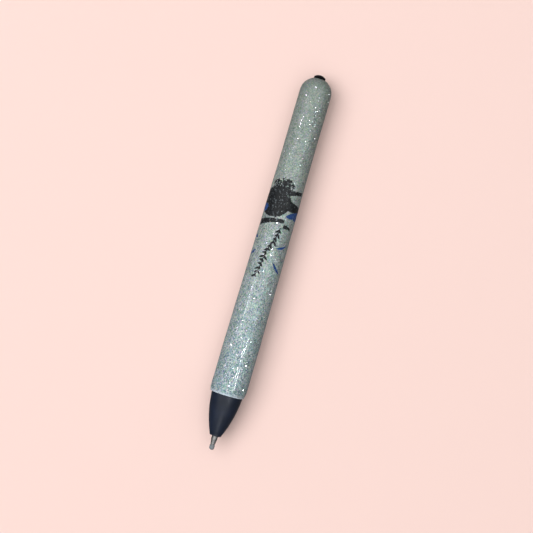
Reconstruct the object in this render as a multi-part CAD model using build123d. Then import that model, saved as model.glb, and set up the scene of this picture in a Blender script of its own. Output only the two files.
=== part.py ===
"""Retractable gel pen with a glitter and resin covered barrel, one STEP per piece.

The pen lies on its side. +X runs from the writing point to the push button, +Z is up, and the
origin is under the middle of the pen, on the surface that it rests on. Every piece is first made
about the X axis, with its distances measured from the front of the tip seal, and place() then
moves it into that frame. All sizes are in millimetres and degrees.
"""
from build123d import *
from math import asin, cos, pi, radians, sin, sqrt, tan
import os

# Whole pen
LENGTH = 145.5
GRIP_R = 6.90
REAR_R = 6.08

# Stations along the pen, from the front of the tip seal
NOSE_FRONT = 5.45
JOINT = 21.5
GRIP_START = 25.0
GRIP_END = 41.0
TAPER_END = 112.0
DOME_CENTRE = 138.3

# The covering, from the outside in
RESIN = 0.55
GLITTER = 0.35
BASE = 0.10
COVER = RESIN + GLITTER + BASE
LIP_R = 6.57
DECAL_START = 65.5
DECAL_END = 105.5
DECAL_HALF_ANGLE = 80
DECAL_THICKNESS = 0.10
DOME_ARC_MIDDLE = 35

# Bare barrel
BORE_R = 4.20
SOCKET_END = 31.0
SOCKET_CONE = 1.0
BUTTON_HOLE_R = 2.35

# Screw thread between the nose cone and the barrel
PITCH = 2.0
THREAD_ROOT_R = 4.50
THREAD_DEPTH = 0.50
THREAD_GAP = 0.15
SOCKET_R = THREAD_ROOT_R + THREAD_DEPTH + THREAD_GAP
ROOT_WIDTH = 1.10
CREST_WIDTH = 0.60
THREAD_SINK = 0.12
NOSE_THREAD_START = 23.2
NOSE_THREAD_TURNS = 2.5
BARREL_THREAD_START = 24.2
BARREL_THREAD_TURNS = 2.4

# Nose cone
NOSE_BASE_R = GRIP_R - COVER
NOSE_MIDDLE = (12.3, 4.46)
NOSE_EDGE = (5.95, 2.28)
NOSE_EDGE_MIDDLE = (5.60, 2.14)
NOSE_FACE_R = 1.80
NIB_BORE_R = 1.40
NIB_BORE_END = 8.0
NECK_CONE = 0.8
NECK_BORE_R = 2.25
SPRING_SEAT = 12.0
SPRING_BORE_R = 3.20
SPIGOT_END = 30.0

# Writing tip
BALL_R = 0.35
BALL_CENTRE = 0.80
SOCKET_CLEARANCE = 0.02
LIP_FRONT = 0.68
SOCKET_LIP_R = 0.40
NIB_R = 1.15
NIB_CONE = [(1.4, 0.78), (2.9, 0.93), (4.1, NIB_R)]
NIB_REAR = 14.5
INK_WAY_R = 0.22
NIB_HOLLOW_R = 0.70
NIB_HOLLOW_START = 3.2
HOLLOW_OVERLAP = 0.1
BALL_SPRING_START = 3.6
BALL_SPRING_PITCH = 0.9
BALL_SPRING_TURNS = 10
BALL_SPRING_R = 0.50
BALL_SPRING_WIRE_R = 0.08
BALL_SPRING_END_R = 0.09
SEAL_R = 0.98
SEAL_FULL = 1.45
SEAL_REAR_MIDDLE = (1.80, 0.92)
SEAL_REAR = (1.95, 0.70)

# Refill
NECK_FRONT = 9.4
NECK_R = 1.90
NECK_FRONT_R = 1.55
NECK_FRONT_CONE = 1.2
NECK_REAR_R = 2.05
FLANGE_START = 24.0
FLANGE_END = 26.0
TUBE_R = 3.05
TUBE_BORE_R = 2.45
SPIGOT_R = TUBE_BORE_R - 0.02
HOLDER_END = 31.0
HOLDER_END_R = 2.15
HOLDER_END_CONE = 0.5
TUBE_END = 106.0
INK_END = 84.0
GREASE_END = 91.0
DISH = 0.9
PLUG_START = 100.0
PLUG_FLANGE_END = 107.6
REFILL_END = 112.0
TAIL_R = 2.30
TAIL_BAR = 1.20
VENT_R = 0.50
VENT_END = 1.5
SIDE_VENT_CENTRE = 2.0
SIDE_VENT_LENGTH = 1.0
SIDE_VENT_HEIGHT = 0.5

# Return spring, as compressed with the point out
SPRING_MEAN_R = 2.62
SPRING_WIRE_R = 0.20
SPRING_TURNS = 7
SPRING_CLEARANCE = 0.03

# Click mechanism
STEPS = 4
GUIDE_START = 113.5
GUIDE_END = 132.0
LAND_START = 121.0
LAND_R = 3.20
GROOVE_R = 3.75
GROOVE_WIDTH = 4.00
SPLINE_WIDTH = 3.70
LUG_R = 3.55
LUG_WIDTH = 1.30
LUG_LENGTH = 3.0
LUG_TAPER = 0.5
LUG_ANGLE = 21
LUG_SINK = 0.3
LAND_SINK = 0.1
TOOTH = 0.70
CROWN_R = 2.90
CROWN_BORE_R = 1.40
CROWN_GAP = 0.15
ROTOR_START = 112.1
ROTOR_BASE = 121.1
ROTOR_PIN_R = 1.20
ROTOR_PIN_END = 129.0
ROTOR_PIN_CHAMFER = 0.4
PIN_ROOM = 1.5
SPLINE_GAP = 1.0
BUTTON_SHOULDER = 134.0
BUTTON_R = 2.20
BUTTON_DOME = 0.90
STOP_FACE = 140.05


def place(shape):
    """Moves a piece from the pen's own axis to where the pen lies."""
    return Pos(-LENGTH / 2, 0, GRIP_R) * shape


def turned(start, *steps):
    """Solid turned about the pen's axis. A step is a corner (distance, radius), or an arc as
    (point on the arc, end point)."""
    edges = []
    here = start
    for step in steps:
        if isinstance(step[0], tuple):
            edges.append(ThreePointArc(here, step[0], step[1]))
            here = step[1]
        else:
            edges.append(Line(here, step))
            here = step
    edges.append(Line(here, start))
    return revolve(make_face(edges), Axis.X)


def rod(start, end, radius):
    """Cylinder on the pen's axis between two stations."""
    return Pos((start + end) / 2, 0, 0) * Rot(0, 90, 0) * Cylinder(radius, end - start)


def tube(start, end, outer, inner):
    """Plain tube on the pen's axis between two stations."""
    return rod(start, end, outer) - rod(start, end, inner)


def around(shape, count, first=0.0):
    """Copies of a shape spaced evenly round the pen's axis."""
    return [Rot(first + i * 360 / count, 0, 0) * shape for i in range(count)]


def on_circle(centre, radius, degrees):
    """Point of a circle drawn in the half plane of distance and radius."""
    angle = radians(degrees)
    return (centre + radius * sin(angle), radius * cos(angle))


def on_dome(share):
    """Point of the push button's domed face, at a share of the way out from the axis."""
    dome_r = (BUTTON_R**2 + BUTTON_DOME**2) / (2 * BUTTON_DOME)
    reach = share * asin(BUTTON_R / dome_r)
    return (LENGTH - dome_r * (1 - cos(reach)), dome_r * sin(reach))


def line_radius(station, depth):
    """Radius of the grip, taper or rear at a station, at a depth under the outside."""
    share = min(max((station - GRIP_END) / (TAPER_END - GRIP_END), 0), 1)
    return GRIP_R + (REAR_R - GRIP_R) * share - depth


def shell(outer_depth, inner_depth, lip=None):
    """One layer of the covering: grip, taper, rear and the domed end with the button's hole."""
    grip = GRIP_R - outer_depth
    rear = REAR_R - outer_depth
    grip_in = GRIP_R - inner_depth
    rear_in = REAR_R - inner_depth
    hole = BUTTON_HOLE_R
    rim = (DOME_CENTRE + sqrt(rear**2 - hole**2), hole)
    rim_in = (DOME_CENTRE + sqrt(rear_in**2 - hole**2), hole)
    front = [(JOINT, grip)]
    if lip:
        run = GRIP_START - JOINT
        drop = grip - lip
        round_r = (run**2 + drop**2) / (2 * drop)
        turn = asin(run / round_r) / 2
        swell = (GRIP_START - round_r * sin(turn), grip - round_r * (1 - cos(turn)))
        front = [(JOINT, lip), (swell, (GRIP_START, grip))]
    return turned(
        (JOINT, grip_in),
        *front,
        (GRIP_END, grip),
        (TAPER_END, rear),
        (DOME_CENTRE, rear),
        (on_circle(DOME_CENTRE, rear, DOME_ARC_MIDDLE), rim),
        rim_in,
        (on_circle(DOME_CENTRE, rear_in, DOME_ARC_MIDDLE), (DOME_CENTRE, rear_in)),
        (TAPER_END, rear_in),
        (GRIP_END, grip_in),
    )


def coiled(drawing, pitch, rise, radius, start):
    """Drawing swept along a right-hand helix, which is laid along the pen's axis from a
    station. The drawing's X points away from the axis."""
    path = Helix(pitch, rise, radius)
    section = Plane(origin=path @ 0, x_dir=(1, 0, 0), z_dir=path % 0)
    coil = sweep(section * drawing, path=path, is_frenet=True)
    return Pos(start, 0, 0) * Rot(0, 90, 0) * coil


def thread(root_r, crest_r, start, turns):
    """Thread ridge that stands on a root cylinder, outwards or inwards."""
    sunk = THREAD_SINK if crest_r < root_r else -THREAD_SINK
    crest = crest_r - root_r
    corners = [
        (sunk, -ROOT_WIDTH / 2),
        (crest, -CREST_WIDTH / 2),
        (crest, CREST_WIDTH / 2),
        (sunk, ROOT_WIDTH / 2),
    ]
    ridge = make_face(Polyline(*corners, close=True))
    return coiled(ridge, PITCH, turns * PITCH, root_r, start)


def saw_gaps(base, height, inner, outer, first=0.0):
    """Wedges that cut a ring's end into saw teeth, two for each step of the click mechanism.
    The teeth stand up from base, or forwards where height is negative."""
    count = 2 * STEPS
    beyond = height + (1 if height > 0 else -1)
    faces = []
    for radius in (0.9 * inner, 1.2 * outer):
        half = radius * tan(pi / count)
        corners = [(base, -half), (base + height, half), (base + beyond, half), (base + beyond, -half)]
        faces.append(Pos(0, 0, radius) * make_face(Polyline(*corners, close=True)))
    return around(loft(faces, ruled=True), count, first)


def fused(body, pieces):
    """One solid from a body and the pieces that grow out of it."""
    for piece in pieces:
        body = body + piece
    return body


def cut(body, pieces):
    """What is left of a body once each of the pieces is taken out of it."""
    for piece in pieces:
        body = body - piece
    return body


def barrel():
    """Moulded tube: threaded socket in front, plain bore behind, and a tapered outside."""
    grip = GRIP_R - COVER
    rear = REAR_R - COVER
    body = turned(
        (JOINT, SOCKET_R),
        (JOINT, grip),
        (GRIP_END, grip),
        (TAPER_END, rear),
        (DOME_CENTRE, rear),
        (DOME_CENTRE, BORE_R),
        (SOCKET_END + SOCKET_CONE, BORE_R),
        (SOCKET_END, SOCKET_R),
    )
    crest = SOCKET_R - THREAD_DEPTH
    return body + thread(SOCKET_R, crest, BARREL_THREAD_START, BARREL_THREAD_TURNS)


def base_coat():
    """Coat of paint over the sanded barrel and end cap."""
    return shell(RESIN + GLITTER, COVER)


def glitter_coat():
    """Layer of fine glitter held in adhesive."""
    return shell(RESIN, RESIN + GLITTER)


def decal_film():
    """Printed film wrapped over the upper side of the glitter, under the resin."""
    front = line_radius(DECAL_START, RESIN)
    rear = line_radius(DECAL_END, RESIN)
    film = turned(
        (DECAL_START, front),
        (DECAL_START, front + DECAL_THICKNESS),
        (DECAL_END, rear + DECAL_THICKNESS),
        (DECAL_END, rear),
    )
    reach = 3 * GRIP_R
    side = radians(DECAL_HALF_ANGLE)
    low = (reach * sin(side), reach * cos(side))
    corners = [(0, 0), low, (reach, reach), (-reach, reach), (-low[0], low[1])]
    plane = Plane(origin=(DECAL_START - 1, 0, 0), x_dir=(0, 1, 0), z_dir=(1, 0, 0))
    wedge = plane * make_face(Polyline(*corners, close=True))
    return film & extrude(wedge, DECAL_END - DECAL_START + 2)


def resin_coat():
    """Clear resin over the whole barrel, rounded over at its front lip."""
    return shell(0, RESIN, LIP_R) - decal_film()


def end_cap():
    """Domed plug in the barrel's rear end, which stops the button from coming out."""
    rear = REAR_R - COVER
    hole = BUTTON_HOLE_R
    rim = DOME_CENTRE + sqrt(rear**2 - hole**2)
    return turned(
        (GUIDE_END, GROOVE_R),
        (GUIDE_END, BORE_R),
        (DOME_CENTRE, BORE_R),
        (DOME_CENTRE, rear),
        (on_circle(DOME_CENTRE, rear, DOME_ARC_MIDDLE), (rim, hole)),
        (STOP_FACE, hole),
        (STOP_FACE, GROOVE_R),
    )


def nose_cone():
    """Tapered front shell, with the spring's seat inside and a threaded spigot behind."""
    body = turned(
        (NOSE_FRONT, NIB_BORE_R),
        (NOSE_FRONT, NOSE_FACE_R),
        (NOSE_EDGE_MIDDLE, NOSE_EDGE),
        (NOSE_MIDDLE, (JOINT, NOSE_BASE_R)),
        (JOINT, THREAD_ROOT_R),
        (SPIGOT_END, THREAD_ROOT_R),
        (SPIGOT_END, SPRING_BORE_R),
        (SPRING_SEAT, SPRING_BORE_R),
        (SPRING_SEAT, NECK_BORE_R),
        (NIB_BORE_END + NECK_CONE, NECK_BORE_R),
        (NIB_BORE_END, NIB_BORE_R),
    )
    crest = THREAD_ROOT_R + THREAD_DEPTH
    return body + thread(THREAD_ROOT_R, crest, NOSE_THREAD_START, NOSE_THREAD_TURNS)


def nib_outline(end):
    """The nib's outside as a solid without its ball's socket, from its lip to a station."""
    return turned((LIP_FRONT, 0), (LIP_FRONT, SOCKET_LIP_R), *NIB_CONE, (end, NIB_R), (end, 0))


def ball_room():
    """Room for the writing ball and its clearance."""
    return Pos(BALL_CENTRE, 0, 0) * Sphere(BALL_R + SOCKET_CLEARANCE)


def nib():
    """Metal point: ball socket, narrow ink way, hollow stem."""
    way = rod(BALL_CENTRE, NIB_HOLLOW_START + HOLLOW_OVERLAP, INK_WAY_R)
    hollow = rod(NIB_HOLLOW_START, NIB_REAR + 1, NIB_HOLLOW_R)
    return cut(nib_outline(NIB_REAR), [ball_room(), way, hollow])


def writing_ball():
    """Carbide ball that rolls in the nib's socket."""
    return Pos(BALL_CENTRE, 0, 0) * Sphere(BALL_R)


def tip_seal():
    """Bead of soft wax that keeps a new point from drying out."""
    bead = turned(
        (0, 0),
        (on_circle(SEAL_R, SEAL_R, -45), (SEAL_R, SEAL_R)),
        (SEAL_FULL, SEAL_R),
        (SEAL_REAR_MIDDLE, SEAL_REAR),
        (SEAL_REAR[0], 0),
    )
    return cut(bead, [nib_outline(NIB_REAR), ball_room()])


def ball_spring():
    """Fine wire spring inside the nib. Its last turn is closed and bent across to the middle,
    and its straight end presses on the ball."""
    start = BALL_SPRING_START
    wire = BALL_SPRING_END_R
    rise = BALL_SPRING_TURNS * BALL_SPRING_PITCH
    coil = coiled(Circle(BALL_SPRING_WIRE_R), BALL_SPRING_PITCH, rise, BALL_SPRING_R, start)
    ring = tube(start - wire, start + wire, BALL_SPRING_R + wire, BALL_SPRING_R - wire)
    bar = Pos(start, 0, 0) * Box(2 * wire, 2 * BALL_SPRING_R, 2 * wire)
    pin = rod(BALL_CENTRE + BALL_R + SOCKET_CLEARANCE, start, wire)
    return fused(coil, [ring, bar, pin])


def nib_holder():
    """Plastic holder that joins the nib to the ink tube and carries the spring's rear end."""
    body = turned(
        (NECK_FRONT, 0),
        (NECK_FRONT, NECK_FRONT_R),
        (NECK_FRONT + NECK_FRONT_CONE, NECK_R),
        (FLANGE_START, NECK_REAR_R),
        (FLANGE_START, TUBE_R),
        (FLANGE_END, TUBE_R),
        (FLANGE_END, SPIGOT_R),
        (HOLDER_END - HOLDER_END_CONE, SPIGOT_R),
        (HOLDER_END, HOLDER_END_R),
        (HOLDER_END, 0),
    )
    socket = rod(NECK_FRONT - 1, NIB_REAR, NIB_R)
    way = rod(NIB_REAR - HOLLOW_OVERLAP, HOLDER_END + 1, NIB_HOLLOW_R)
    return cut(body, [socket, way])


def refill_tube():
    """Clear tube that holds the ink."""
    return tube(FLANGE_END, TUBE_END, TUBE_R, TUBE_BORE_R)


def dished(start, end, first=None):
    """Plug in the refill's tube. Its rear face is a dish about the axis, and so is its front
    face where first is given, so that two plugs meet."""
    ball_r = (TUBE_BORE_R**2 + DISH**2) / (2 * DISH)
    half = asin(TUBE_BORE_R / ball_r) / 2

    def middle(face):
        return (face - DISH + ball_r * (1 - cos(half)), ball_r * sin(half))

    points = [(start, TUBE_BORE_R), (end, TUBE_BORE_R), (middle(end), (end - DISH, 0))]
    if first:
        return turned((start - DISH, 0), (middle(start), points[0]), *points[1:])
    return turned((start, 0), *points)


def gel_ink():
    """Column of gel ink, with its rear surface dished by the grease behind it."""
    return dished(HOLDER_END, INK_END)


def ink_follower():
    """Plug of clear grease that follows the ink down the tube."""
    return dished(INK_END, GREASE_END, first=True)


def tail_plug():
    """Vented plug at the tube's rear end, with a cross-shaped tail that the rotor pushes."""
    body = rod(PLUG_START, TUBE_END, TUBE_BORE_R) + rod(TUBE_END, PLUG_FLANGE_END, TUBE_R)
    tail = rod(PLUG_FLANGE_END, REFILL_END, TAIL_R)
    length = REFILL_END - PLUG_FLANGE_END
    corner = (TAIL_BAR + TUBE_R) / 2
    quarter = Pos(PLUG_FLANGE_END + length / 2, corner, corner) * Box(length, TUBE_R, TUBE_R)
    tail = cut(tail, around(quarter, STEPS))
    vent = rod(PLUG_START - 1, REFILL_END - VENT_END, VENT_R)
    side_vent = Pos(REFILL_END - SIDE_VENT_CENTRE, 0, 0) * Box(
        SIDE_VENT_LENGTH, 2 * TUBE_R, SIDE_VENT_HEIGHT
    )
    return cut(body + tail, [vent, side_vent])


def guide_sleeve():
    """Fixed sleeve of the click mechanism: four lands with saw-toothed ends, four grooves."""
    lands = tube(LAND_START, GUIDE_END, GROOVE_R + LAND_SINK, LAND_R)
    lands = cut(lands, saw_gaps(LAND_START + TOOTH, -TOOTH, LAND_R, GROOVE_R, 180 / STEPS))
    length = GUIDE_END - LAND_START
    groove = Pos(LAND_START + length / 2, 0, GROOVE_R) * Box(length + 2, GROOVE_WIDTH, GROOVE_R)
    lands = cut(lands, around(groove, STEPS))
    return lands + tube(GUIDE_START, GUIDE_END, BORE_R, GROOVE_R)


def index_rotor():
    """Turning part of the click mechanism: four lugs, a crown of saw teeth and a centring pin."""
    body = turned(
        (ROTOR_START, 0),
        (ROTOR_START, CROWN_R),
        (ROTOR_BASE + TOOTH, CROWN_R),
        (ROTOR_BASE + TOOTH, CROWN_BORE_R),
        (ROTOR_BASE, CROWN_BORE_R),
        (ROTOR_BASE, ROTOR_PIN_R),
        (ROTOR_PIN_END - ROTOR_PIN_CHAMFER, ROTOR_PIN_R),
        (ROTOR_PIN_END, ROTOR_PIN_R - ROTOR_PIN_CHAMFER),
        (ROTOR_PIN_END, 0),
    )
    body = cut(body, saw_gaps(ROTOR_BASE, TOOTH, CROWN_BORE_R, CROWN_R))
    top = LAND_START - CROWN_GAP
    bottom = top - LUG_LENGTH
    side = LUG_WIDTH / 2
    corners = [
        (bottom, 0),
        (bottom + LUG_TAPER, -side),
        (top - TOOTH / 2, -side),
        (top, side),
        (bottom + LUG_TAPER, side),
    ]
    blade = extrude(make_face(Polyline(*corners, close=True)), LUG_R + 1)
    lug = blade & tube(bottom - 1, top + 1, LUG_R, CROWN_R - LUG_SINK)
    return fused(body, around(lug, STEPS, LUG_ANGLE))


def push_button():
    """Plunger with its round head, four splines and the crown that drives the rotor."""
    front = ROTOR_BASE + TOOTH + CROWN_GAP
    bore_end = ROTOR_PIN_END + PIN_ROOM
    spline_start = front + TOOTH + SPLINE_GAP
    body = turned(
        (front, CROWN_BORE_R),
        (front, CROWN_R),
        (BUTTON_SHOULDER, CROWN_R),
        (BUTTON_SHOULDER, BUTTON_R),
        (LENGTH - BUTTON_DOME, BUTTON_R),
        (on_dome(0.5), on_dome(0)),
        (bore_end, 0),
        (bore_end, CROWN_BORE_R),
    )
    teeth = saw_gaps(front + TOOTH, -TOOTH, CROWN_BORE_R, CROWN_R, 90 / STEPS)
    length = BUTTON_SHOULDER - spline_start
    bar = Pos(spline_start + length / 2, 0, CROWN_R) * Box(length, SPLINE_WIDTH, CROWN_R)
    sleeve = tube(front, BUTTON_SHOULDER, LUG_R, CROWN_R - LUG_SINK)
    return fused(cut(body, teeth), [sleeve & piece for piece in around(bar, STEPS)])


def return_spring():
    """Coil spring between the nose cone's seat and the nib holder's flange."""
    margin = SPRING_WIRE_R + SPRING_CLEARANCE
    rise = FLANGE_START - SPRING_SEAT - 2 * margin
    pitch = rise / SPRING_TURNS
    return coiled(Circle(SPRING_WIRE_R), pitch, rise, SPRING_MEAN_R, SPRING_SEAT + margin)


PIECES = [
    barrel, base_coat, glitter_coat, decal_film, resin_coat, end_cap, nose_cone,
    nib, writing_ball, tip_seal, ball_spring, nib_holder, refill_tube, gel_ink, ink_follower,
    tail_plug, guide_sleeve, index_rotor, push_button, return_spring,
]

os.makedirs("parts", exist_ok=True)
for make in PIECES:
    export_step(place(make()), f"parts/{make.__name__}.step")
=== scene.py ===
"""Looks of the glitter gel pen: its visible pieces, their finishes, the studio light and the camera.

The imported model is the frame. Every length is in metres in that frame, where +X runs from the
writing point to the push button and +Z is up. Sizes given in millimetres are turned to metres
with MM.
"""
import logging
import math
import random
from dataclasses import dataclass, field
from enum import Enum

import bpy
from mathutils import Matrix, Vector, noise


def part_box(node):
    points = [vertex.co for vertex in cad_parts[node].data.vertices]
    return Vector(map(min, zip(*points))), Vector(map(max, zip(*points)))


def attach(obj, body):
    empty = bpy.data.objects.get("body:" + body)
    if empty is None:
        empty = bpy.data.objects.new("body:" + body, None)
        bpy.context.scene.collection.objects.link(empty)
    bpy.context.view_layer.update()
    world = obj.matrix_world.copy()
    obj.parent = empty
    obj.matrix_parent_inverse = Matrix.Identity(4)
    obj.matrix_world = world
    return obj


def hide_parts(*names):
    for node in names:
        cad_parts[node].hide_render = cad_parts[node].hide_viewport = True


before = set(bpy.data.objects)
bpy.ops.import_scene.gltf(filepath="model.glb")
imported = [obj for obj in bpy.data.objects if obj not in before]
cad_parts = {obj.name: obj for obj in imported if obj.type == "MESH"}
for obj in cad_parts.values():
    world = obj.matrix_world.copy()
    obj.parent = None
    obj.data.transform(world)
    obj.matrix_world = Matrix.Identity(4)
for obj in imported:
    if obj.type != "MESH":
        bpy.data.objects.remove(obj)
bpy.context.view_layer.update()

MM = 0.001
SEED = 20
log = logging.getLogger("pen")

Tree = bpy.types.NodeTree
Socket = bpy.types.NodeSocket


class Tint(Enum):
    """Colours of the loose glitter flakes."""

    SILVER = "#F4F7F6"
    ICE = "#CFE9F5"
    GOLD = "#F3EDC4"
    LILAC = "#D9CDEB"


# ---------------------------------------------------------------- shared helpers


def linear(hex_colour: str) -> tuple[float, float, float, float]:
    """Turns an sRGB hex colour into linear light.

    Args:
        hex_colour: colour such as "#A0B0C0".

    Returns:
        Linear red, green and blue, and an alpha of 1.
    """
    parts = [int(hex_colour[i : i + 2], 16) / 255 for i in (1, 3, 5)]
    light = [c / 12.92 if c <= 0.04045 else ((c + 0.055) / 1.055) ** 2.4 for c in parts]
    return (*light, 1.0)


def add(tree: Tree, kind: str, inputs: dict | None = None, **settings) -> bpy.types.Node:
    """Adds a node with its settings, and fills its inputs with values or links.

    Args:
        tree: the node tree to add to.
        kind: the node's type name.
        inputs: socket name or number, and the constant or output socket that goes into it.
        settings: attributes of the node itself.

    Returns:
        The new node.
    """
    made = tree.nodes.new(kind)
    for name, value in settings.items():
        setattr(made, name, value)
    for socket, value in (inputs or {}).items():
        if isinstance(value, Socket):
            tree.links.new(value, made.inputs[socket])
        else:
            made.inputs[socket].default_value = value
    return made


def new_material(name: str) -> tuple[bpy.types.Material, Tree, Socket]:
    """Makes an empty node material.

    Args:
        name: the material's name.

    Returns:
        The material, its node tree, and the socket that says where on the piece a point lies.
    """
    material = bpy.data.materials.new(name)
    material.use_nodes = True
    material.node_tree.nodes.clear()
    place = add(material.node_tree, "ShaderNodeTexCoord").outputs["Object"]
    return material, material.node_tree, place


def surface(tree: Tree, inputs: dict) -> None:
    """Adds a material's surface shader and wires it to the output.

    Args:
        tree: the node tree.
        inputs: the shader's sockets by name, and the constant or output that goes into each.
    """
    shader = add(tree, "ShaderNodeBsdfPrincipled", inputs)
    add(tree, "ShaderNodeOutputMaterial", {"Surface": shader.outputs[0]})


def mix(tree: Tree, share: Socket | float, first: Socket | tuple, second: Socket | tuple,
        blend: str = "MIX") -> Socket:
    """Mixes two colours.

    Args:
        tree: the node tree.
        share: how much of the second colour shows, from 0 to 1.
        first: the colour underneath.
        second: the colour laid over it.
        blend: the way it is laid over.

    Returns:
        The mixed colour.
    """
    inputs = {0: share, 6: first, 7: second}
    return add(tree, "ShaderNodeMix", inputs, data_type="RGBA", blend_type=blend).outputs[2]


def remap(tree: Tree, value: Socket, old: tuple, new: tuple) -> Socket:
    """Maps a value from one range to another, and holds it there.

    Args:
        tree: the node tree.
        value: the value.
        old: the two ends of the range that comes in.
        new: what those two ends become.

    Returns:
        The mapped value.
    """
    inputs = {0: value, 1: old[0], 2: old[1], 3: new[0], 4: new[1]}
    return add(tree, "ShaderNodeMapRange", inputs).outputs[0]


def calculate(tree: Tree, operation: str, first: Socket, second: Socket | float) -> Socket:
    """Works out one number from two.

    Args:
        tree: the node tree.
        operation: what is done with them.
        first: the first number.
        second: the second number.

    Returns:
        The result.
    """
    return add(tree, "ShaderNodeMath", {0: first, 1: second}, operation=operation).outputs[0]


def clouds(tree: Tree, place: Socket, size_mm: float, detail: float) -> Socket:
    """Adds a soft random pattern.

    Args:
        tree: the node tree.
        place: where on the piece the point lies.
        size_mm: how large its lumps are.
        detail: how much finer pattern it holds.

    Returns:
        The pattern, from 0 to 1.
    """
    inputs = {"Vector": place, "Scale": 1 / (size_mm * MM), "Detail": detail}
    return add(tree, "ShaderNodeTexNoise", inputs).outputs[0]


def cells(tree: Tree, place: Socket, size_mm: float) -> bpy.types.Node:
    """Adds random cells, each with a colour of its own.

    Args:
        tree: the node tree.
        place: where on the piece the point lies.
        size_mm: how large a cell is.

    Returns:
        The node.
    """
    return add(tree, "ShaderNodeTexVoronoi", {"Vector": place, "Scale": 1 / (size_mm * MM)})


def leaning(tree: Tree, dice: Socket, amount: float) -> Socket:
    """Turns a flake's random colour into a random lean.

    Args:
        tree: the node tree.
        dice: the random colour.
        amount: how far a flake may lean.

    Returns:
        The lean, as a vector.
    """
    centred = add(tree, "ShaderNodeVectorMath", {0: dice, 1: (0.5, 0.5, 0.5)}, operation="SUBTRACT")
    inputs = {0: centred.outputs[0], "Scale": amount}
    return add(tree, "ShaderNodeVectorMath", inputs, operation="SCALE").outputs[0]


def leaned_normal(tree: Tree, lean: Socket) -> Socket:
    """Leans the surface's own direction.

    Args:
        tree: the node tree.
        lean: the lean, as a vector.

    Returns:
        The leaned direction, one long.
    """
    upright = add(tree, "ShaderNodeNewGeometry").outputs["Normal"]
    leaned = add(tree, "ShaderNodeVectorMath", {0: upright, 1: lean}, operation="ADD")
    inputs = {0: leaned.outputs[0]}
    return add(tree, "ShaderNodeVectorMath", inputs, operation="NORMALIZE").outputs[0]


def dress(obj: bpy.types.Object, material: bpy.types.Material) -> None:
    """Gives an object one material all over.

    Args:
        obj: the object.
        material: the material.
    """
    obj.data.materials.clear()
    obj.data.materials.append(material)


def deselect() -> None:
    """Leaves nothing selected, so that the next operator acts on its own piece only."""
    if bpy.context.object and bpy.context.object.mode != "OBJECT":
        bpy.ops.object.mode_set(mode="OBJECT")
    bpy.ops.object.select_all(action="DESELECT")


def activate(obj: bpy.types.Object) -> None:
    """Makes one object the only selected one and the active one.

    Args:
        obj: the object.
    """
    deselect()
    obj.select_set(True)
    bpy.context.view_layer.objects.active = obj


def join(pieces: list[bpy.types.Object], name: str) -> bpy.types.Object:
    """Joins pieces into one object.

    Args:
        pieces: the objects to join.
        name: the joined object's name.

    Returns:
        The joined object.
    """
    activate(pieces[0])
    for piece in pieces:
        piece.select_set(True)
    if len(pieces) > 1:
        bpy.ops.object.join()
    pieces[0].name = name
    return pieces[0]


def apply_modifier(obj: bpy.types.Object, kind: str, **settings) -> None:
    """Adds a modifier to an object and applies it at once.

    Args:
        obj: the object to change.
        kind: the modifier's type.
        settings: the modifier's settings.
    """
    activate(obj)
    modifier = obj.modifiers.new(kind.lower(), kind)
    for key, value in settings.items():
        setattr(modifier, key, value)
    bpy.ops.object.modifier_apply(modifier=modifier.name)


def arc(start: tuple, end: tuple, bulge: float, count: int) -> list[tuple]:
    """Points of a shallow arc between two corners of an outline.

    Args:
        start: first corner, as distance and radius.
        end: last corner.
        bulge: how far the middle of the arc stands to the left of the straight line.
        count: how many points to give, the last corner included and the first left out.

    Returns:
        The points.
    """
    a, b = Vector(start), Vector(end)
    along = b - a
    side = Vector((-along.y, along.x)).normalized()
    points = []
    for i in range(1, count + 1):
        t = i / count
        points.append(tuple(a + along * t + side * bulge * 4 * t * (1 - t)))
    return points


@dataclass
class Pen:
    """The pen's own lines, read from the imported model."""

    axis_z: float = field(default_factory=lambda: (
        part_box("push_button")[1][2] / 2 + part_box("push_button")[0][2] / 2))
    point_x: float = field(default_factory=lambda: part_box("tip_seal")[0][0])

    def at(self, station_mm: float) -> float:
        """X of a station.

        Args:
            station_mm: distance from the front of the sealing bead, in millimetres.

        Returns:
            X in metres.
        """
        return self.point_x + station_mm * MM

    def on_barrel(self, x: float, angle: float, radius: float) -> Vector:
        """Point round the pen's axis.

        Args:
            x: distance along the frame's X.
            angle: turn from the top towards -Y.
            radius: distance from the axis.

        Returns:
            The point.
        """
        return Vector((x, -radius * math.sin(angle), self.axis_z + radius * math.cos(angle)))


PEN = Pen()


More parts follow.
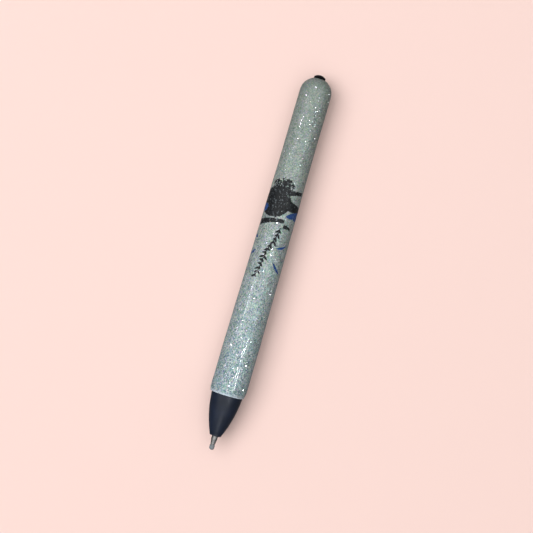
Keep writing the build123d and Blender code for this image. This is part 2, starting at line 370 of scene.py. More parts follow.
def lathe(name: str, outline: list[tuple], steps: int) -> bpy.types.Object:
    """Closes an outline and turns it about the pen's axis, as on a lathe.

    Args:
        name: the piece's name.
        outline: corners as distance along the pen in millimetres and radius in millimetres.
        steps: how many flats the round is made of.

    Returns:
        The turned piece.
    """
    deselect()
    bpy.ops.mesh.primitive_plane_add(size=MM)
    piece = bpy.context.object
    piece.name = name
    bpy.ops.object.mode_set(mode="EDIT")
    bpy.ops.mesh.select_all(action="SELECT")
    bpy.ops.mesh.merge(type="CENTER")
    places = [Vector((PEN.at(s), 0.0, PEN.axis_z + r * MM)) for s, r in outline]
    bpy.ops.transform.translate(value=places[0])
    for here, there in zip(places, places[1:]):
        bpy.ops.mesh.extrude_region_move(TRANSFORM_OT_translate={"value": there - here})
    bpy.ops.object.mode_set(mode="OBJECT")
    ends = (0, len(piece.data.vertices) - 1)
    for vertex in piece.data.vertices:
        vertex.select = vertex.index in ends
    bpy.ops.object.mode_set(mode="EDIT")
    bpy.ops.mesh.edge_face_add()
    bpy.ops.mesh.select_all(action="SELECT")
    bpy.ops.mesh.spin(steps=steps, angle=2 * math.pi, center=(0, 0, PEN.axis_z), axis=(1, 0, 0))
    bpy.ops.mesh.select_all(action="SELECT")
    bpy.ops.mesh.remove_doubles(threshold=1e-7)
    bpy.ops.mesh.normals_make_consistent(inside=False)
    bpy.ops.object.mode_set(mode="OBJECT")
    return piece


def smooth(obj: bpy.types.Object, degrees: float = 30.0) -> None:
    """Shades an object smooth, apart from edges sharper than an angle.

    Args:
        obj: the object.
        degrees: edges sharper than this stay sharp.
    """
    activate(obj)
    bpy.ops.object.shade_smooth_by_angle(angle=math.radians(degrees))


def copy_of(node: str, name: str, degrees: float = 25.0) -> bpy.types.Object:
    """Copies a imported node's mesh, joins its loose triangles and shades it smooth.

    Args:
        node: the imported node.
        name: the copy's name.
        degrees: edges sharper than this stay sharp.

    Returns:
        The copy, which stands for the node.
    """
    piece = bpy.data.objects.new(name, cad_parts[node].data.copy())
    bpy.context.scene.collection.objects.link(piece)
    activate(piece)
    bpy.ops.object.mode_set(mode="EDIT")
    bpy.ops.mesh.select_all(action="SELECT")
    bpy.ops.mesh.remove_doubles(threshold=1e-6)
    bpy.ops.object.mode_set(mode="OBJECT")
    smooth(piece, degrees)
    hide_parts(node)
    return piece


# ---------------------------------------------------------------- finishes


@dataclass(frozen=True)
class GlitterUnderResin:
    """Fine polyester glitter under self-levelling clear resin.

    It gives the eye a dense pale grain, with a few flakes that lean far enough to flash, under one
    smooth wet-looking gloss. A paler bluish band at the front lip is a painted highlight, the front of
    the grain carries a painted reflection that makes it bluish and lighter, and the rear carries painted
    shade that makes it greenish and darker.
    """

    name: str = "polyester_glitter_under_clear_resin"
    pale: str = "#C5D4D0"
    deep: str = "#586662"
    # painted reflection: bluish, lighter colour laid over the front of the grain
    front: str = "#A9BDD2"
    # painted shade: greenish, darker colour laid over the rear of the grain
    rear: str = "#717C72"
    # painted highlight: pale bluish band along the front lip, where the resin edge catches light
    lip_highlight: str = "#D9E6F2"
    violet: str = "#4C5478"
    flake_mm: float = 0.34
    fine: float = 0.6
    fine_share: float = 0.38
    cloud_mm: float = 2.2
    cloud_depth: float = 0.09
    flash_mm: float = 0.60
    flash_share: float = 0.22
    flash_reach: float = 0.36
    flash_tint: float = 0.22
    lean: float = 0.55
    flash_lean: float = 1.1
    hue_share: float = 0.55
    # width of the painted lip highlight, in millimetres
    lip_highlight_mm: float = 0.9
    coat: float = 0.35

    def grain(self, tree: Tree, place: Socket) -> tuple[Socket, Socket]:
        """Adds the fine grain's cells.

        Args:
            tree: the node tree.
            place: where on the piece the point lies.

        Returns:
            The random colour of the flake at the point, and the grain's lightness from 0 to 1.
        """
        big = cells(tree, place, self.flake_mm).outputs["Color"]
        small = cells(tree, place, self.fine * self.flake_mm).outputs["Color"]
        cloud = clouds(tree, place, self.cloud_mm, 3.0)
        mixed = mix(tree, self.fine_share, big, small)
        dice = add(tree, "ShaderNodeSeparateColor", {"Color": mixed})
        lump = remap(tree, cloud, (0.35, 0.65), (-self.cloud_depth, self.cloud_depth))
        return mixed, calculate(tree, "ADD", dice.outputs[0], lump)

    def flashes(self, tree: Tree, place: Socket) -> tuple[Socket, Socket]:
        """Adds the sparse flakes that flash.

        Args:
            tree: the node tree.
            place: where on the piece the point lies.

        Returns:
            The random colour of the flake, and 1 on it or 0 beside it.
        """
        flakes = cells(tree, place, self.flash_mm)
        dice = add(tree, "ShaderNodeSeparateColor", {"Color": flakes.outputs["Color"]})
        chosen = calculate(tree, "GREATER_THAN", dice.outputs[2], 1 - self.flash_share)
        near = calculate(tree, "LESS_THAN", flakes.outputs["Distance"], self.flash_reach)
        return flakes.outputs["Color"], calculate(tree, "MULTIPLY", chosen, near)

    def colours(self, tree: Tree, place: Socket, dice: Socket, light: Socket) -> Socket:
        """Adds the grain's colour, with a painted reflection that makes the front bluish and lighter,
        painted shade that makes the rear greenish and darker, and a painted highlight along the front
        lip.

        Args:
            tree: the node tree.
            place: where on the piece the point lies.
            dice: the flake's random colour.
            light: the grain's lightness.

        Returns:
            The colour.
        """
        body = mix(tree, light, linear(self.deep), linear(self.pale))
        hue = mix(tree, self.hue_share, body, dice, "SOFT_LIGHT")
        along = add(tree, "ShaderNodeSeparateXYZ", {0: place}).outputs[0]
        # painted reflection: the front of the grain is made bluish and lighter
        front_reflection_share = remap(tree, along, (PEN.at(20), PEN.at(100)), (0.72, 0.0))
        with_front_reflection = mix(tree, front_reflection_share, hue, linear(self.front), "SOFT_LIGHT")
        # painted shade: the rear of the grain is made greenish and darker
        back = remap(tree, along, (PEN.at(50), PEN.at(140)), (0.0, 0.56))
        with_rear_shade = mix(tree, back, with_front_reflection, linear(self.rear))
        parts = add(tree, "ShaderNodeSeparateColor", {"Color": dice})
        share = remap(tree, along, (PEN.at(22), PEN.at(60)), (0.24, 0.03))
        dark = calculate(tree, "LESS_THAN", parts.outputs[1], share)
        speck = mix(tree, dark, with_rear_shade, linear(self.violet))
        # painted highlight: the front lip is blended to a pale bluish band
        edge = remap(tree, along, (PEN.at(21.2), PEN.at(21.9 + self.lip_highlight_mm)), (1.0, 0.0))
        return mix(tree, edge, speck, linear(self.lip_highlight))

    def build(self) -> bpy.types.Material:
        """Returns the material."""
        material, tree, place = new_material(self.name)
        dice, light = self.grain(tree, place)
        spark, flash = self.flashes(tree, place)
        tinted = mix(tree, self.flash_tint, linear("#FFFFFF"), spark)
        colour = mix(tree, flash, self.colours(tree, place, dice, light), tinted)
        lean = add(tree, "ShaderNodeMix", {
            0: flash, 4: leaning(tree, dice, self.lean), 5: leaning(tree, spark, self.flash_lean),
        }, data_type="VECTOR").outputs[1]
        surface(tree, {
            "Base Color": colour, "Roughness": remap(tree, flash, (0.0, 1.0), (0.42, 0.22)),
            "Metallic": remap(tree, flash, (0.0, 1.0), (0.30, 0.95)), "Specular IOR Level": 0.2,
            "Normal": leaned_normal(tree, lean), "Coat Weight": self.coat, "Coat Roughness": 0.05,
            "Coat IOR": 1.5,
        })
        return material


@dataclass(frozen=True)
class FlakeMetal:
    """One tint of loose metallised flake, which flashes as a hard bright point."""

    tint: Tint
    film_mm: float = 0.9

    def build(self) -> bpy.types.Material:
        """Returns the material."""
        material, tree, place = new_material(f"metallised_flake_{self.tint.name.lower()}")
        film = clouds(tree, place, self.film_mm, 2.0)
        surface(tree, {
            "Base Color": mix(tree, film, linear(self.tint.value), linear("#FFFFFF")),
            "Roughness": remap(tree, film, (0.3, 0.7), (0.12, 0.28)), "Metallic": 1.0,
            "Coat Weight": 1.0, "Coat Roughness": 0.05,
        })
        return material


@dataclass(frozen=True)
class MouldedPlastic:
    """Injection-moulded plastic. Its gloss is broken by the mould's fine spark texture."""

    name: str
    colour: str
    worn: str
    roughness: float
    grain_mm: float = 0.08
    grain_depth_mm: float = 0.004
    cloud_mm: float = 4.0

    def build(self) -> bpy.types.Material:
        """Returns the material."""
        material, tree, place = new_material(self.name)
        grain = clouds(tree, place, self.grain_mm, 2.0)
        cloud = clouds(tree, place, self.cloud_mm, 4.0)
        share = remap(tree, cloud, (0.35, 0.75), (0.0, 1.0))
        gloss = (self.roughness * 0.9, min(1.0, self.roughness * 1.15))
        bump = add(tree, "ShaderNodeBump", {
            "Height": grain, "Strength": 0.6, "Distance": self.grain_depth_mm * MM})
        surface(tree, {
            "Base Color": mix(tree, share, linear(self.colour), linear(self.worn)),
            "Roughness": remap(tree, cloud, (0.3, 0.7), gloss), "Normal": bump.outputs[0],
            "Specular IOR Level": 0.5,
        })
        return material


@dataclass(frozen=True)
class TurnedMetal:
    """Metal cut on a lathe. Fine rings round the axis spread its highlights sideways."""

    name: str
    colour: str
    roughness: float
    ring_mm: float = 0.06
    ring_depth_mm: float = 0.002
    stain: str = "#8D8A86"
    stain_mm: float = 0.8

    def build(self) -> bpy.types.Material:
        """Returns the material."""
        material, tree, place = new_material(self.name)
        stretched = add(tree, "ShaderNodeMapping", {"Vector": place, "Scale": (1.0, 0.02, 0.02)})
        rings = clouds(tree, stretched.outputs[0], self.ring_mm, 3.0)
        stain = clouds(tree, place, self.stain_mm, 3.0)
        gloss = (self.roughness * 0.7, self.roughness * 1.4)
        bump = add(tree, "ShaderNodeBump", {
            "Height": rings, "Strength": 0.4, "Distance": self.ring_depth_mm * MM})
        surface(tree, {
            "Base Color": mix(tree, stain, linear(self.colour), linear(self.stain), "MULTIPLY"),
            "Metallic": 1.0, "Roughness": remap(tree, rings, (0.3, 0.7), gloss),
            "Normal": bump.outputs[0],
        })
        return material


@dataclass(frozen=True)
class ClearStuff:
    """Clear or cloudy plastic, wax or grease, which shows what is behind it."""

    name: str
    colour: str
    alpha: float
    roughness: float
    mottle_mm: float = 1.5

    def build(self) -> bpy.types.Material:
        """Returns the material."""
        material, tree, place = new_material(self.name)
        mottle = clouds(tree, place, self.mottle_mm, 3.0)
        gloss = (self.roughness * 0.8, self.roughness * 1.3)
        surface(tree, {
            "Base Color": mix(tree, mottle, linear(self.colour), linear("#FFFFFF"), "SOFT_LIGHT"),
            "Roughness": remap(tree, mottle, (0.3, 0.7), gloss), "Alpha": self.alpha, "IOR": 1.49,
        })
        return material


@dataclass(frozen=True)
class PrintedInk:
    """Waterslide print under resin.

    It is draped over the glitter's grain, whose flakes show as small dull specks in it.
    """

    name: str
    colour: str
    speck: str
    speck_share: float
    grain_mm: float = 0.42
    lean: float = 0.5
    fade: float = 0.12

    def build(self) -> bpy.types.Material:
        """Returns the material."""
        material, tree, place = new_material(self.name)
        grain = cells(tree, place, self.grain_mm).outputs["Color"]
        dice = add(tree, "ShaderNodeSeparateColor", {"Color": grain})
        edge = 1.0 - self.speck_share
        share = remap(tree, dice.outputs[0], (edge, min(1.0, edge + self.fade)), (0.0, 1.0))
        body = remap(tree, dice.outputs[1], (0.0, 1.0), (0.0, self.fade))
        total = calculate(tree, "MAXIMUM", share, body)
        surface(tree, {
            "Base Color": mix(tree, total, linear(self.colour), linear(self.speck)),
            "Roughness": 0.45, "Specular IOR Level": 0.2,
            "Normal": leaned_normal(tree, leaning(tree, grain, self.lean)), "Coat Weight": 0.35,
            "Coat Roughness": 0.05, "Coat IOR": 1.5,
        })
        return material


# ---------------------------------------------------------------- pieces


@dataclass
class Barrel:
    """The covered barrel: a skin of glitter under resin, its loose flakes and its print."""

    joint: float = 21.5
    grip_start: float = 25.0
    grip_end: float = 41.0
    taper_end: float = 112.0
    dome_centre: float = 138.3
    grip_r: float = 6.845
    rear_r: float = 6.04
    lip_r: float = 6.52
    lip_round: float = 0.30
    lip_length: float = 0.8
    rise_bulge: float = 0.08
    hole_r: float = 2.32
    wall: float = 0.50
    flakes: int = 1800
    flake_sizes: tuple = (0.13, 0.25)
    flake_tilt: float = 0.16
    flake_faces: tuple = (-0.006, 0.012)
    cast_from: float = 9.0
    sag: float = 0.16
    sag_length: float = 4.5
    sink: float = 0.03
    steps: int = 144

    def radius(self, station: float) -> float:
        """Outside radius of the straight part of the barrel.

        Args:
            station: distance from the front of the sealing bead, in millimetres.

        Returns:
            The radius in millimetres.
        """
        if station <= self.grip_end:
            return self.grip_r
        if station >= self.taper_end:
            return self.rear_r
        done, length = station - self.grip_end, self.taper_end - self.grip_end
        return self.grip_r + (self.rear_r - self.grip_r) * done / length

    def dome(self, radius: float, shares: list[float]) -> list[tuple]:
        """Points of the rear dome, from the barrel to the button's hole.

        Args:
            radius: the dome's radius.
            shares: where the points lie, from 0 at the barrel to 1 at the hole.

        Returns:
            The points.
        """
        last = math.acos(self.hole_r / radius)
        turns = [last * share for share in shares]
        return [(self.dome_centre + radius * math.sin(a), radius * math.cos(a)) for a in turns]

    def outline(self) -> list[tuple]:
        """Outline of the skin: rounded lip, grip, taper, rear, dome, and the inner side.

        Returns:
            The corners, as distance and radius in millimetres.
        """
        bead = self.lip_round
        lip = [(self.joint + bead * (1 - math.cos(a)), self.lip_r + bead * math.sin(a) - bead)
               for a in [math.radians(18 * i) for i in range(6)]]
        rise = arc(lip[-1], (self.grip_start, self.grip_r), self.rise_bulge, 10)
        length, count = self.dome_centre - self.grip_start, 46
        straight = [self.grip_start + length * i / count for i in range(1, count + 1)]
        body = [(s, self.radius(s)) for s in straight]
        inner = self.rear_r - self.wall
        dome = self.dome(self.rear_r, [i / 22 for i in range(1, 23)])
        back = self.dome(inner, [1 - i / 8 for i in range(9)])
        bore = self.grip_r - self.wall
        return lip + rise + body + dome + back + [
            (self.taper_end, inner), (self.grip_end, bore), (self.joint, bore)]

    def wave(self, piece: bpy.types.Object, group: str, size: float, depth: float,
             middle: float = 1.0, direction: str = "NORMAL") -> None:
        """Makes part of the skin wavy.

        Args:
            piece: the skin.
            group: the vertices that move.
            size: length of the waves in millimetres.
            depth: how deep they are in millimetres.
            middle: the part of the pattern that stays where it is, from 0 to 1.
            direction: the way that the vertices move.
        """
        texture = bpy.data.textures.new(f"{group}_wave", "CLOUDS")
        texture.noise_scale = size * MM
        apply_modifier(piece, "DISPLACE", texture=texture, texture_coords="LOCAL", direction=direction,
                       strength=depth * MM, mid_level=middle, vertex_group=group)

    def skin(self) -> bpy.types.Object:
        """Builds the resin's outer skin, wavy as hand-poured resin is, with an uneven front lip.

        Returns:
            The skin.
        """
        piece = lathe("resin_skin", self.outline(), self.steps)
        group = piece.vertex_groups.new(name="outside")
        edge = piece.vertex_groups.new(name="lip")
        lip_end = PEN.at(self.joint + self.lip_length)
        rear_end = PEN.at(self.dome_centre + 3)
        for vertex in piece.data.vertices:
            away = Vector((vertex.co.y, vertex.co.z - PEN.axis_z)).length / MM
            if away > self.rear_r - 0.35 and PEN.at(self.grip_start) < vertex.co.x < rear_end:
                group.add([vertex.index], 1.0, "REPLACE")
            if vertex.co.x < lip_end:
                edge.add([vertex.index], 1.0, "REPLACE")
        self.wave(piece, "outside", 5.0, 0.06)
        self.wave(piece, "outside", 1.6, 0.04)
        self.wave(piece, "lip", 3.4, 0.85, 0.25, "X")
        for vertex in piece.data.vertices:
            fade = 1 - (vertex.co.x - PEN.at(self.joint)) / (self.sag_length * MM)
            if fade > 0:
                vertex.co.y += self.sag * MM * min(1.0, fade) ** 2
        smooth(piece, 35)
        return piece

    def loose_flakes(self, skin: bpy.types.Object) -> list[bpy.types.Object]:
        """Scatters small tilted six-sided flakes in the skin, one object for each tint.

        Args:
            skin: the surface that they lie in.

        Returns:
            The flake objects.
        """
        dice = random.Random(SEED)
        ahead = Vector((1, 0, 0))
        tints = [Tint.SILVER, Tint.SILVER, Tint.SILVER, Tint.ICE, Tint.GOLD, Tint.LILAC]
        made: dict[Tint, tuple[list, list]] = {tint: ([], []) for tint in Tint}
        for _ in range(self.flakes):
            tint = dice.choice(tints)
            station = dice.uniform(self.grip_start - 1.5, self.dome_centre + 4.6)
            angle = dice.uniform(-math.pi, math.pi)
            size = dice.uniform(*self.flake_sizes) * MM
            turn = dice.uniform(0, math.pi / 3)
            tilt = (dice.gauss(0, self.flake_tilt), dice.gauss(0, self.flake_tilt))
            start = PEN.on_barrel(PEN.at(station), angle, self.cast_from * MM)
            heart = PEN.on_barrel(PEN.at(min(station, self.dome_centre)), angle, 0)
            hit, place, normal, _ = skin.ray_cast(start, (heart - start).normalized())
            if not hit:
                continue
            lean = normal + normal.cross(ahead) * tilt[0] + ahead * tilt[1]
            turned = lean.normalized().to_track_quat("Z", "X").to_matrix().to_4x4()
            sunk = Matrix.Translation(place - normal * self.sink * MM)
            matrix = sunk @ turned @ Matrix.Rotation(turn, 4, "Z")
            verts, faces = made[tint]
            first = len(verts)
            for height in self.flake_faces:
                for i in range(6):
                    a = i * math.pi / 3
                    verts.append(matrix @ Vector((size * math.cos(a), size * math.sin(a), height * MM)))
            faces.append(tuple(first + i for i in reversed(range(6))))
            faces.append(tuple(first + 6 + i for i in range(6)))
            for i in range(6):
                j = (i + 1) % 6
                faces.append((first + i, first + j, first + 6 + j, first + 6 + i))
        pieces = []
        for tint, (verts, faces) in made.items():
            mesh = bpy.data.meshes.new(f"flakes_{tint.name.lower()}")
            mesh.from_pydata(verts, [], faces)
            piece = bpy.data.objects.new(mesh.name, mesh)
            bpy.context.scene.collection.objects.link(piece)
            dress(piece, FlakeMetal(tint).build())
            pieces.append(piece)
        return pieces

    def build(self) -> None:
        """Builds and dresses the covered barrel."""
        skin = self.skin()
        dress(skin, GlitterUnderResin().build())
        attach(skin, "barrel")
        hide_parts("resin_coat")
        for piece in self.loose_flakes(skin):
            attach(piece, "barrel")
        Print(self, skin).build()


@dataclass
class Print:
    """The printed film: an ink splash with blue dabs, a leafy sprig and four blue petals."""

    barrel: Barrel
    skin: bpy.types.Object
    cell: float = 0.20
    lift: float = 0.014
    strokes: tuple = ((98.8, 1.3, -2.0, 7.6, 1.5, -0.24), (94.8, 2.5, -3.0, 9.6, 2.2, 0.10),
                      (88.5, 1.3, -8.6, 2.4, 1.8, -0.22), (87.2, 0.9, 2.4, 6.0, 0.8, 0.1))
    dabs: tuple = ((92.2, 5.6, 7.0, 2.3, 70, 0.3), (92.9, -7.6, 3.6, 3.0, 80, 0.2),
                   (91.2, 7.2, 4.0, 2.4, 110, -0.2))
    petals: tuple = ((79.6, 4.4, 4.8, 0.9, 70, 0.3), (71.6, 4.7, 5.8, 0.95, 130, 0.3),
                     (75.6, -7.4, 3.8, 0.85, 55, 0.3), (81.6, -7.6, 2.4, 1.0, 115, 0.2))
    stem_start: tuple = (86.4, 1.5)
    stem_end: tuple = (67.0, -3.0)
    stem_slope: float = 13
    stem_pieces: int = 13

    def wrap(self, piece: bpy.types.Object, lift: float) -> None:
        """Rolls a flat plan round the barrel and lays it on the skin.

        Args:
            piece: the plan, with stations along X and distances across in Y, in millimetres.
            lift: how far it stands on the skin, in millimetres.
        """
        for vertex in piece.data.vertices:
            station, across = vertex.co.x, vertex.co.y
            radius = self.barrel.radius(station)
            vertex.co = PEN.on_barrel(PEN.at(station), across / radius, (radius + lift) * MM)
        apply_modifier(piece, "SHRINKWRAP", target=self.skin, wrap_method="NEAREST_SURFACEPOINT",
                       wrap_mode="ABOVE_SURFACE", offset=lift * MM)
        smooth(piece, 60)

    def splash_depth(self, s: float, u: float) -> float:
        """How deep a point of the plan lies in the ink splash: above 0 is inked.

        The patch is laid on with a broad brush: a dense side, a loose spattered end, and
        strokes that fan out across the pen. A stroke is the station of its middle, its half
        width, where it starts and ends across, its weight and its slant.

        Args:
            s: station of the point.
            u: distance across of the point.

        Returns:
            The depth.
        """
        wobble = noise.noise(Vector((s * 0.55, u * 0.55, 3.1))) * 1.3
        wobble += noise.noise(Vector((s * 1.7, u * 1.7, 9.2))) * 0.9
        body = 1.0 - math.hypot((s - 95.4) / 5.8, (u + 3.6) / 6.6) ** 4
        top = 0.62 - math.hypot((s - 101.9) / 3.4, (u + 1.5) / 5.2) ** 2
        shape = max(body * 2.2, top)
        for middle, width, start, end, weight, slant in self.strokes:
            t = (u - start) / (end - start)
            if 0 < t < 1:
                bow = middle + 0.5 * math.sin(math.pi * t) - slant * u
                reach = width * (1 - 0.5 * t)
                shape = max(shape, weight * (1 - ((s - bow) / reach) ** 2))
        return shape + wobble * 0.5

    def splash(self) -> bpy.types.Object:
        """Builds the splash from a fine grid whose cells outside the ink are cut away.

        Returns:
            The splash, still a flat plan.
        """
        deselect()
        span = (24.0, 24.0)
        middle = (95.6, -0.6)
        cells = [round(size / self.cell) for size in span]
        bpy.ops.mesh.primitive_grid_add(x_subdivisions=cells[0], y_subdivisions=cells[1], size=1.0)
        piece = bpy.context.object
        bpy.ops.object.mode_set(mode="EDIT")
        bpy.ops.mesh.select_all(action="SELECT")
        bpy.ops.transform.resize(value=(span[0], span[1], 1.0))
        bpy.ops.transform.translate(value=(middle[0], middle[1], 0.0))
        bpy.ops.mesh.select_mode(type="FACE")
        bpy.ops.object.mode_set(mode="OBJECT")
        for face in piece.data.polygons:
            s, u, _ = face.center
            fleck = noise.noise(Vector((s * 3.1, u * 3.1, 5.5)))
            depth = self.splash_depth(s, u)
            keep = depth > 0 and fleck > -0.42 - 0.2 * depth
            spray = -0.85 < depth <= 0 and fleck > 0.40 - 0.22 * depth
            face.select = not (keep or spray)
        bpy.ops.object.mode_set(mode="EDIT")
        bpy.ops.mesh.delete(type="FACE")
        bpy.ops.mesh.select_all(action="SELECT")
        bpy.ops.mesh.vertices_smooth(factor=0.5, repeat=2)
        bpy.ops.object.mode_set(mode="OBJECT")
        return piece

    def petal(self, s: float, u: float, length: float, width: float, degrees: float,
              bow: float) -> bpy.types.Object:
        """Builds one pointed, slightly bowed petal or leaf in the plan.

        Args:
            s: station of its middle.
            u: distance across of its middle.
            length: from point to point.
            width: at its widest.
            degrees: its direction, from along the pen towards across it.
            bow: how far its middle line stands off the straight.

        Returns:
            The petal.
        """
        deselect()
        bpy.ops.mesh.primitive_grid_add(x_subdivisions=14, y_subdivisions=2, size=1.0)
        piece = bpy.context.object
        turn = Matrix.Rotation(math.radians(degrees), 2)
        for vertex in piece.data.vertices:
            t = vertex.co.x * 2
            swell = max(0.0, 1 - t * t) ** 0.75
            x = t * length / 2
            y = vertex.co.y * width * swell + bow * (1 - t * t)
            x, y = turn @ Vector((x, y))
            vertex.co = (s + x, u + y, 0.0)
        return piece

    def sprig(self) -> list[bpy.types.Object]:
        """Builds the leafy sprig: a thin winding stem with leaves on both sides.

        Returns:
            The stem's pieces and the leaves.
        """
        dice = random.Random(SEED + 1)
        start, end = self.stem_start, self.stem_end
        pieces = []
        for i in range(self.stem_pieces):
            t = (i + 0.5) / self.stem_pieces
            s = start[0] + (end[0] - start[0]) * t
            u = start[1] + (end[1] - start[1]) * t + 0.4 * math.sin(t * 9)
            bend = 180 + self.stem_slope + 12 * math.cos(t * 9)
            pieces.append(self.petal(s, u, 2.3, 0.42, bend, 0.03))
            for side in (-1, 1):
                size = dice.uniform(1.3, 2.7) * (1 - 0.15 * t)
                tilt = side * dice.uniform(26, 62)
                reach = size * 0.45
                lean = math.radians(self.stem_slope + tilt)
                pieces.append(self.petal(
                    s - reach * math.cos(lean), u - reach * math.sin(lean), size,
                    dice.uniform(0.62, 0.85), self.stem_slope + tilt, side * 0.12))
        return pieces

    def lay(self, piece: bpy.types.Object, name: str, lift: float, ink: bpy.types.Material) -> None:
        """Wraps one printed shape round the barrel and inks it.

        Args:
            piece: the flat plan.
            name: the shape's name.
            lift: how far it stands on the skin, in millimetres.
            ink: its material.
        """
        self.wrap(piece, lift)
        piece.name = name
        dress(piece, ink)
        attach(piece, "barrel")

    def build(self) -> None:
        """Builds, wraps and dresses the print."""
        dark = PrintedInk("waterslide_print_black", "#07090D", "#5C6468", 0.12).build()
        blue = PrintedInk("waterslide_print_blue", "#1A3E78", "#54709C", 0.06).build()
        leaf = PrintedInk("waterslide_print_leaf", "#0A0C11", "#4A5154", 0.05).build()
        splash = self.splash()
        self.lay(splash, "print_splash", self.lift, dark)
        self.lay(join(self.sprig(), "print_sprig"), "print_sprig", self.lift, leaf)
        for rows, name, lift in ((self.dabs, "print_blue_dabs", self.lift * 2),
                                 (self.petals, "print_blue_petals", self.lift)):
            self.lay(join([self.petal(*row) for row in rows], name), name, lift, blue)
        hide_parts("decal_film")


@dataclass
class NoseCone:
    """The tapered front shell with its threaded spigot."""

    def build(self) -> None:
        """Builds and dresses the nose cone."""
        piece = copy_of("nose_cone", "nose_shell", 32)
        dress(piece, MouldedPlastic("abs_moulded_satin_blue_black", "#0D1727", "#121E33", 0.38).build())
        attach(piece, "nose")


@dataclass
class WritingPoint:
    """The metal nib and the soft sealing bead on its end."""

    def build(self) -> None:
        """Builds and dresses the nib and the bead."""
        nib = copy_of("nib", "nib_turned", 28)
        dress(nib, TurnedMetal("stainless_steel_turned_polished", "#E6E6E6", 0.20).build())
        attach(nib, "refill")
        bead = copy_of("tip_seal", "seal_bead", 40)
        dress(bead, ClearStuff("hot_melt_wax_cloudy_grey", "#6B7175", 0.9, 0.22, 0.5).build())
        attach(bead, "seal")


@dataclass
class PushButton:
    """The push button's plunger with its round black head."""

    def build(self) -> None:
        """Builds and dresses the button."""
        piece = copy_of("push_button", "button_plunger", 30)
        finish = MouldedPlastic("abs_moulded_polished_black", "#060709", "#0B0C10", 0.2, 0.3, 0.002)
        dress(piece, finish.build())
        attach(piece, "button")


@dataclass
class InnerParts:
    """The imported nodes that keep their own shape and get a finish."""

    def build(self) -> None:
        """Dresses each inner node."""
        black = MouldedPlastic("abs_moulded_black_inner", "#15181E", "#20242C", 0.5).build()
        acetal = MouldedPlastic("acetal_moulded_natural", "#D8D6CC", "#C9C6B8", 0.38, 0.1).build()
        white = MouldedPlastic("polypropylene_moulded_white", "#E4E5E2", "#D4D6D2", 0.34, 0.12).build()
        spring = TurnedMetal("spring_wire_drawn_bright", "#C9C8C6", 0.24, 0.1).build()
        carbide = TurnedMetal("tungsten_carbide_ground", "#8E8D8C", 0.1, 0.05).build()
        paint = MouldedPlastic("acrylic_paint_sprayed_sage", "#9FABA6", "#93A09B", 0.45, 0.2).build()
        finishes = {
            "barrel": black, "end_cap": black, "guide_sleeve": acetal, "index_rotor": acetal,
            "nib_holder": white, "tail_plug": white, "return_spring": spring, "ball_spring": spring,
            "writing_ball": carbide, "base_coat": paint,
            "glitter_coat": GlitterUnderResin(name="polyester_glitter_in_adhesive").build(),
            "refill_tube": ClearStuff("polypropylene_tube_extruded_clear", "#DCE6E8", 0.35, 0.12).build(),
            "gel_ink": ClearStuff("gel_ink_black_wet", "#0B0C12", 1.0, 0.08).build(),
            "ink_follower": ClearStuff("follower_grease_pale", "#E6E0BE", 0.6, 0.2).build(),
        }
        for node, finish in finishes.items():
            dress(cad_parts[node], finish)


# ---------------------------------------------------------------- studio


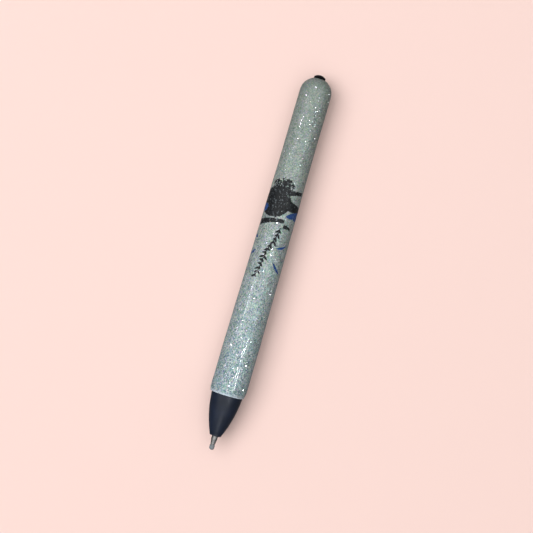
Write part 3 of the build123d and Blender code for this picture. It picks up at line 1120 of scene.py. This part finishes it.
@dataclass
class Studio:
    """Pale floor, soft light from the upper left, and a camera straight above.

    Windows and sparks are small lights that show only as glints in glossy surfaces.
    """

    view_width: float = 198.85 * MM
    lens: float = 100.0
    sensor: float = 36.0
    turn: float = 16.33
    shift_right: float = 0.24 * MM
    shift_down: float = 1.47 * MM
    windows: tuple = ((0.231, -0.154, 0.43), (0.130, -0.105, 0.43), (0.215, -0.120, 0.43))
    sparks: tuple = ((-0.36, 0.08, 0.45), (0.02, 0.36, 0.44), (-0.08, -0.40, 0.42), (0.44, 0.22, 0.34))
    key_place: tuple = (-0.75, 0.27, 1.39)
    key_size: tuple = (1.12, 1.12)

    def axes(self) -> tuple[Vector, Vector]:
        """Picture's directions in the frame.

        Returns:
            The way to its right and the way to its top.
        """
        a = math.radians(self.turn)
        return Vector((math.sin(a), -math.cos(a), 0)), Vector((math.cos(a), math.sin(a), 0))

    def camera(self) -> None:
        """Adds the camera."""
        right, up = self.axes()
        data = bpy.data.cameras.new("camera")
        data.lens = self.lens
        data.sensor_width = self.sensor
        camera = bpy.data.objects.new("camera", data)
        bpy.context.scene.collection.objects.link(camera)
        away = self.lens / self.sensor * self.view_width
        place = right * self.shift_right - up * self.shift_down + Vector((0, 0, PEN.axis_z + away))
        camera.matrix_world = Matrix((
            (right.x, up.x, 0, place.x), (right.y, up.y, 0, place.y), (0, 0, 1, place.z), (0, 0, 0, 1)))
        bpy.context.scene.camera = camera

    def light(self, name: str, place: tuple, size: tuple, watts: float, mirrored: bool = True,
              lit: bool = True) -> None:
        """Adds a white rectangular light that faces the pen.

        Args:
            name: the light's name.
            place: distance to the picture's right of the pen, distance towards the picture's top,
                and height over the floor, in metres.
            size: length and width, in metres.
            watts: power.
            mirrored: whether glossy surfaces show it.
            lit: whether it lights matt surfaces.
        """
        right, up = self.axes()
        data = bpy.data.lights.new(name, "AREA")
        data.shape = "RECTANGLE"
        data.size, data.size_y = size
        data.energy = watts
        lamp = bpy.data.objects.new(name, data)
        bpy.context.scene.collection.objects.link(lamp)
        lamp.visible_glossy = mirrored
        lamp.visible_diffuse = lit
        lamp.location = right * place[0] + up * place[1] + Vector((0, 0, place[2]))
        lamp.rotation_euler = (-lamp.location).to_track_quat("-Z", "Y").to_euler()

    def floor(self) -> None:
        """Adds the pale floor."""
        deselect()
        bpy.ops.mesh.primitive_plane_add(size=6.0)
        floor = bpy.context.object
        floor.name = "floor"
        material, tree, place = new_material("paper_backdrop_matt")
        grain = add(tree, "ShaderNodeTexNoise", {"Vector": place, "Scale": 40.0, "Detail": 2.0})
        colour = mix(tree, grain.outputs[0], linear("#EFD2CA"), linear("#F0D3CB"))
        surface(tree, {"Base Color": colour, "Roughness": 0.9, "Specular IOR Level": 0.1})
        dress(floor, material)
        floor.visible_glossy = False

    def world(self) -> None:
        """Sets a surround that darkens towards the horizon, and a paler one for the camera."""
        world = bpy.data.worlds.new("surround")
        world.use_nodes = True
        tree = world.node_tree
        background = tree.nodes["Background"]
        way = add(tree, "ShaderNodeTexCoord").outputs["Generated"]
        height = add(tree, "ShaderNodeSeparateXYZ", {0: way}).outputs[2]
        sky = remap(tree, height, (0.1, 0.9), (0.12, 0.40))
        seen = add(tree, "ShaderNodeLightPath").outputs["Is Camera Ray"]
        wall = mix(tree, seen, linear("#FFFFFF"), linear("#F8DDD5"))
        power = add(tree, "ShaderNodeMix", {0: seen, 2: sky, 3: 1.0})
        tree.links.new(wall, background.inputs[0])
        tree.links.new(power.outputs[0], background.inputs[1])
        bpy.context.scene.world = world

    def build(self) -> None:
        """Builds the studio."""
        bpy.context.scene.view_settings.view_transform = "Standard"
        self.camera()
        self.floor()
        self.world()
        self.light("key_soft", self.key_place, self.key_size, 7.0, mirrored=False)
        self.light("key_bright", self.key_place, self.key_size, 8.8)
        self.light("fill_soft", (-0.1, 0.05, 1.2), (2.2, 2.2), 11.0, mirrored=False)
        self.light("fill_bright", (-0.40, 0.05, 1.2), (1.2, 2.2), 2.4)
        for number, place in enumerate(self.windows):
            self.light(f"window_{number}", place, (0.016, 0.016), 0.16, lit=False)
        for number, place in enumerate(self.sparks):
            self.light(f"spark_{number}", place, (0.06, 0.06), 0.20, lit=False)


def main() -> None:
    """Builds every sub-assembly in order and reports each one."""
    logging.basicConfig(level=logging.INFO, format="%(message)s")
    for part in (Studio(), Barrel(), NoseCone(), WritingPoint(), PushButton(), InnerParts()):
        part.build()
        log.info("built %s", type(part).__name__)


if __name__ == "__main__":
    main()
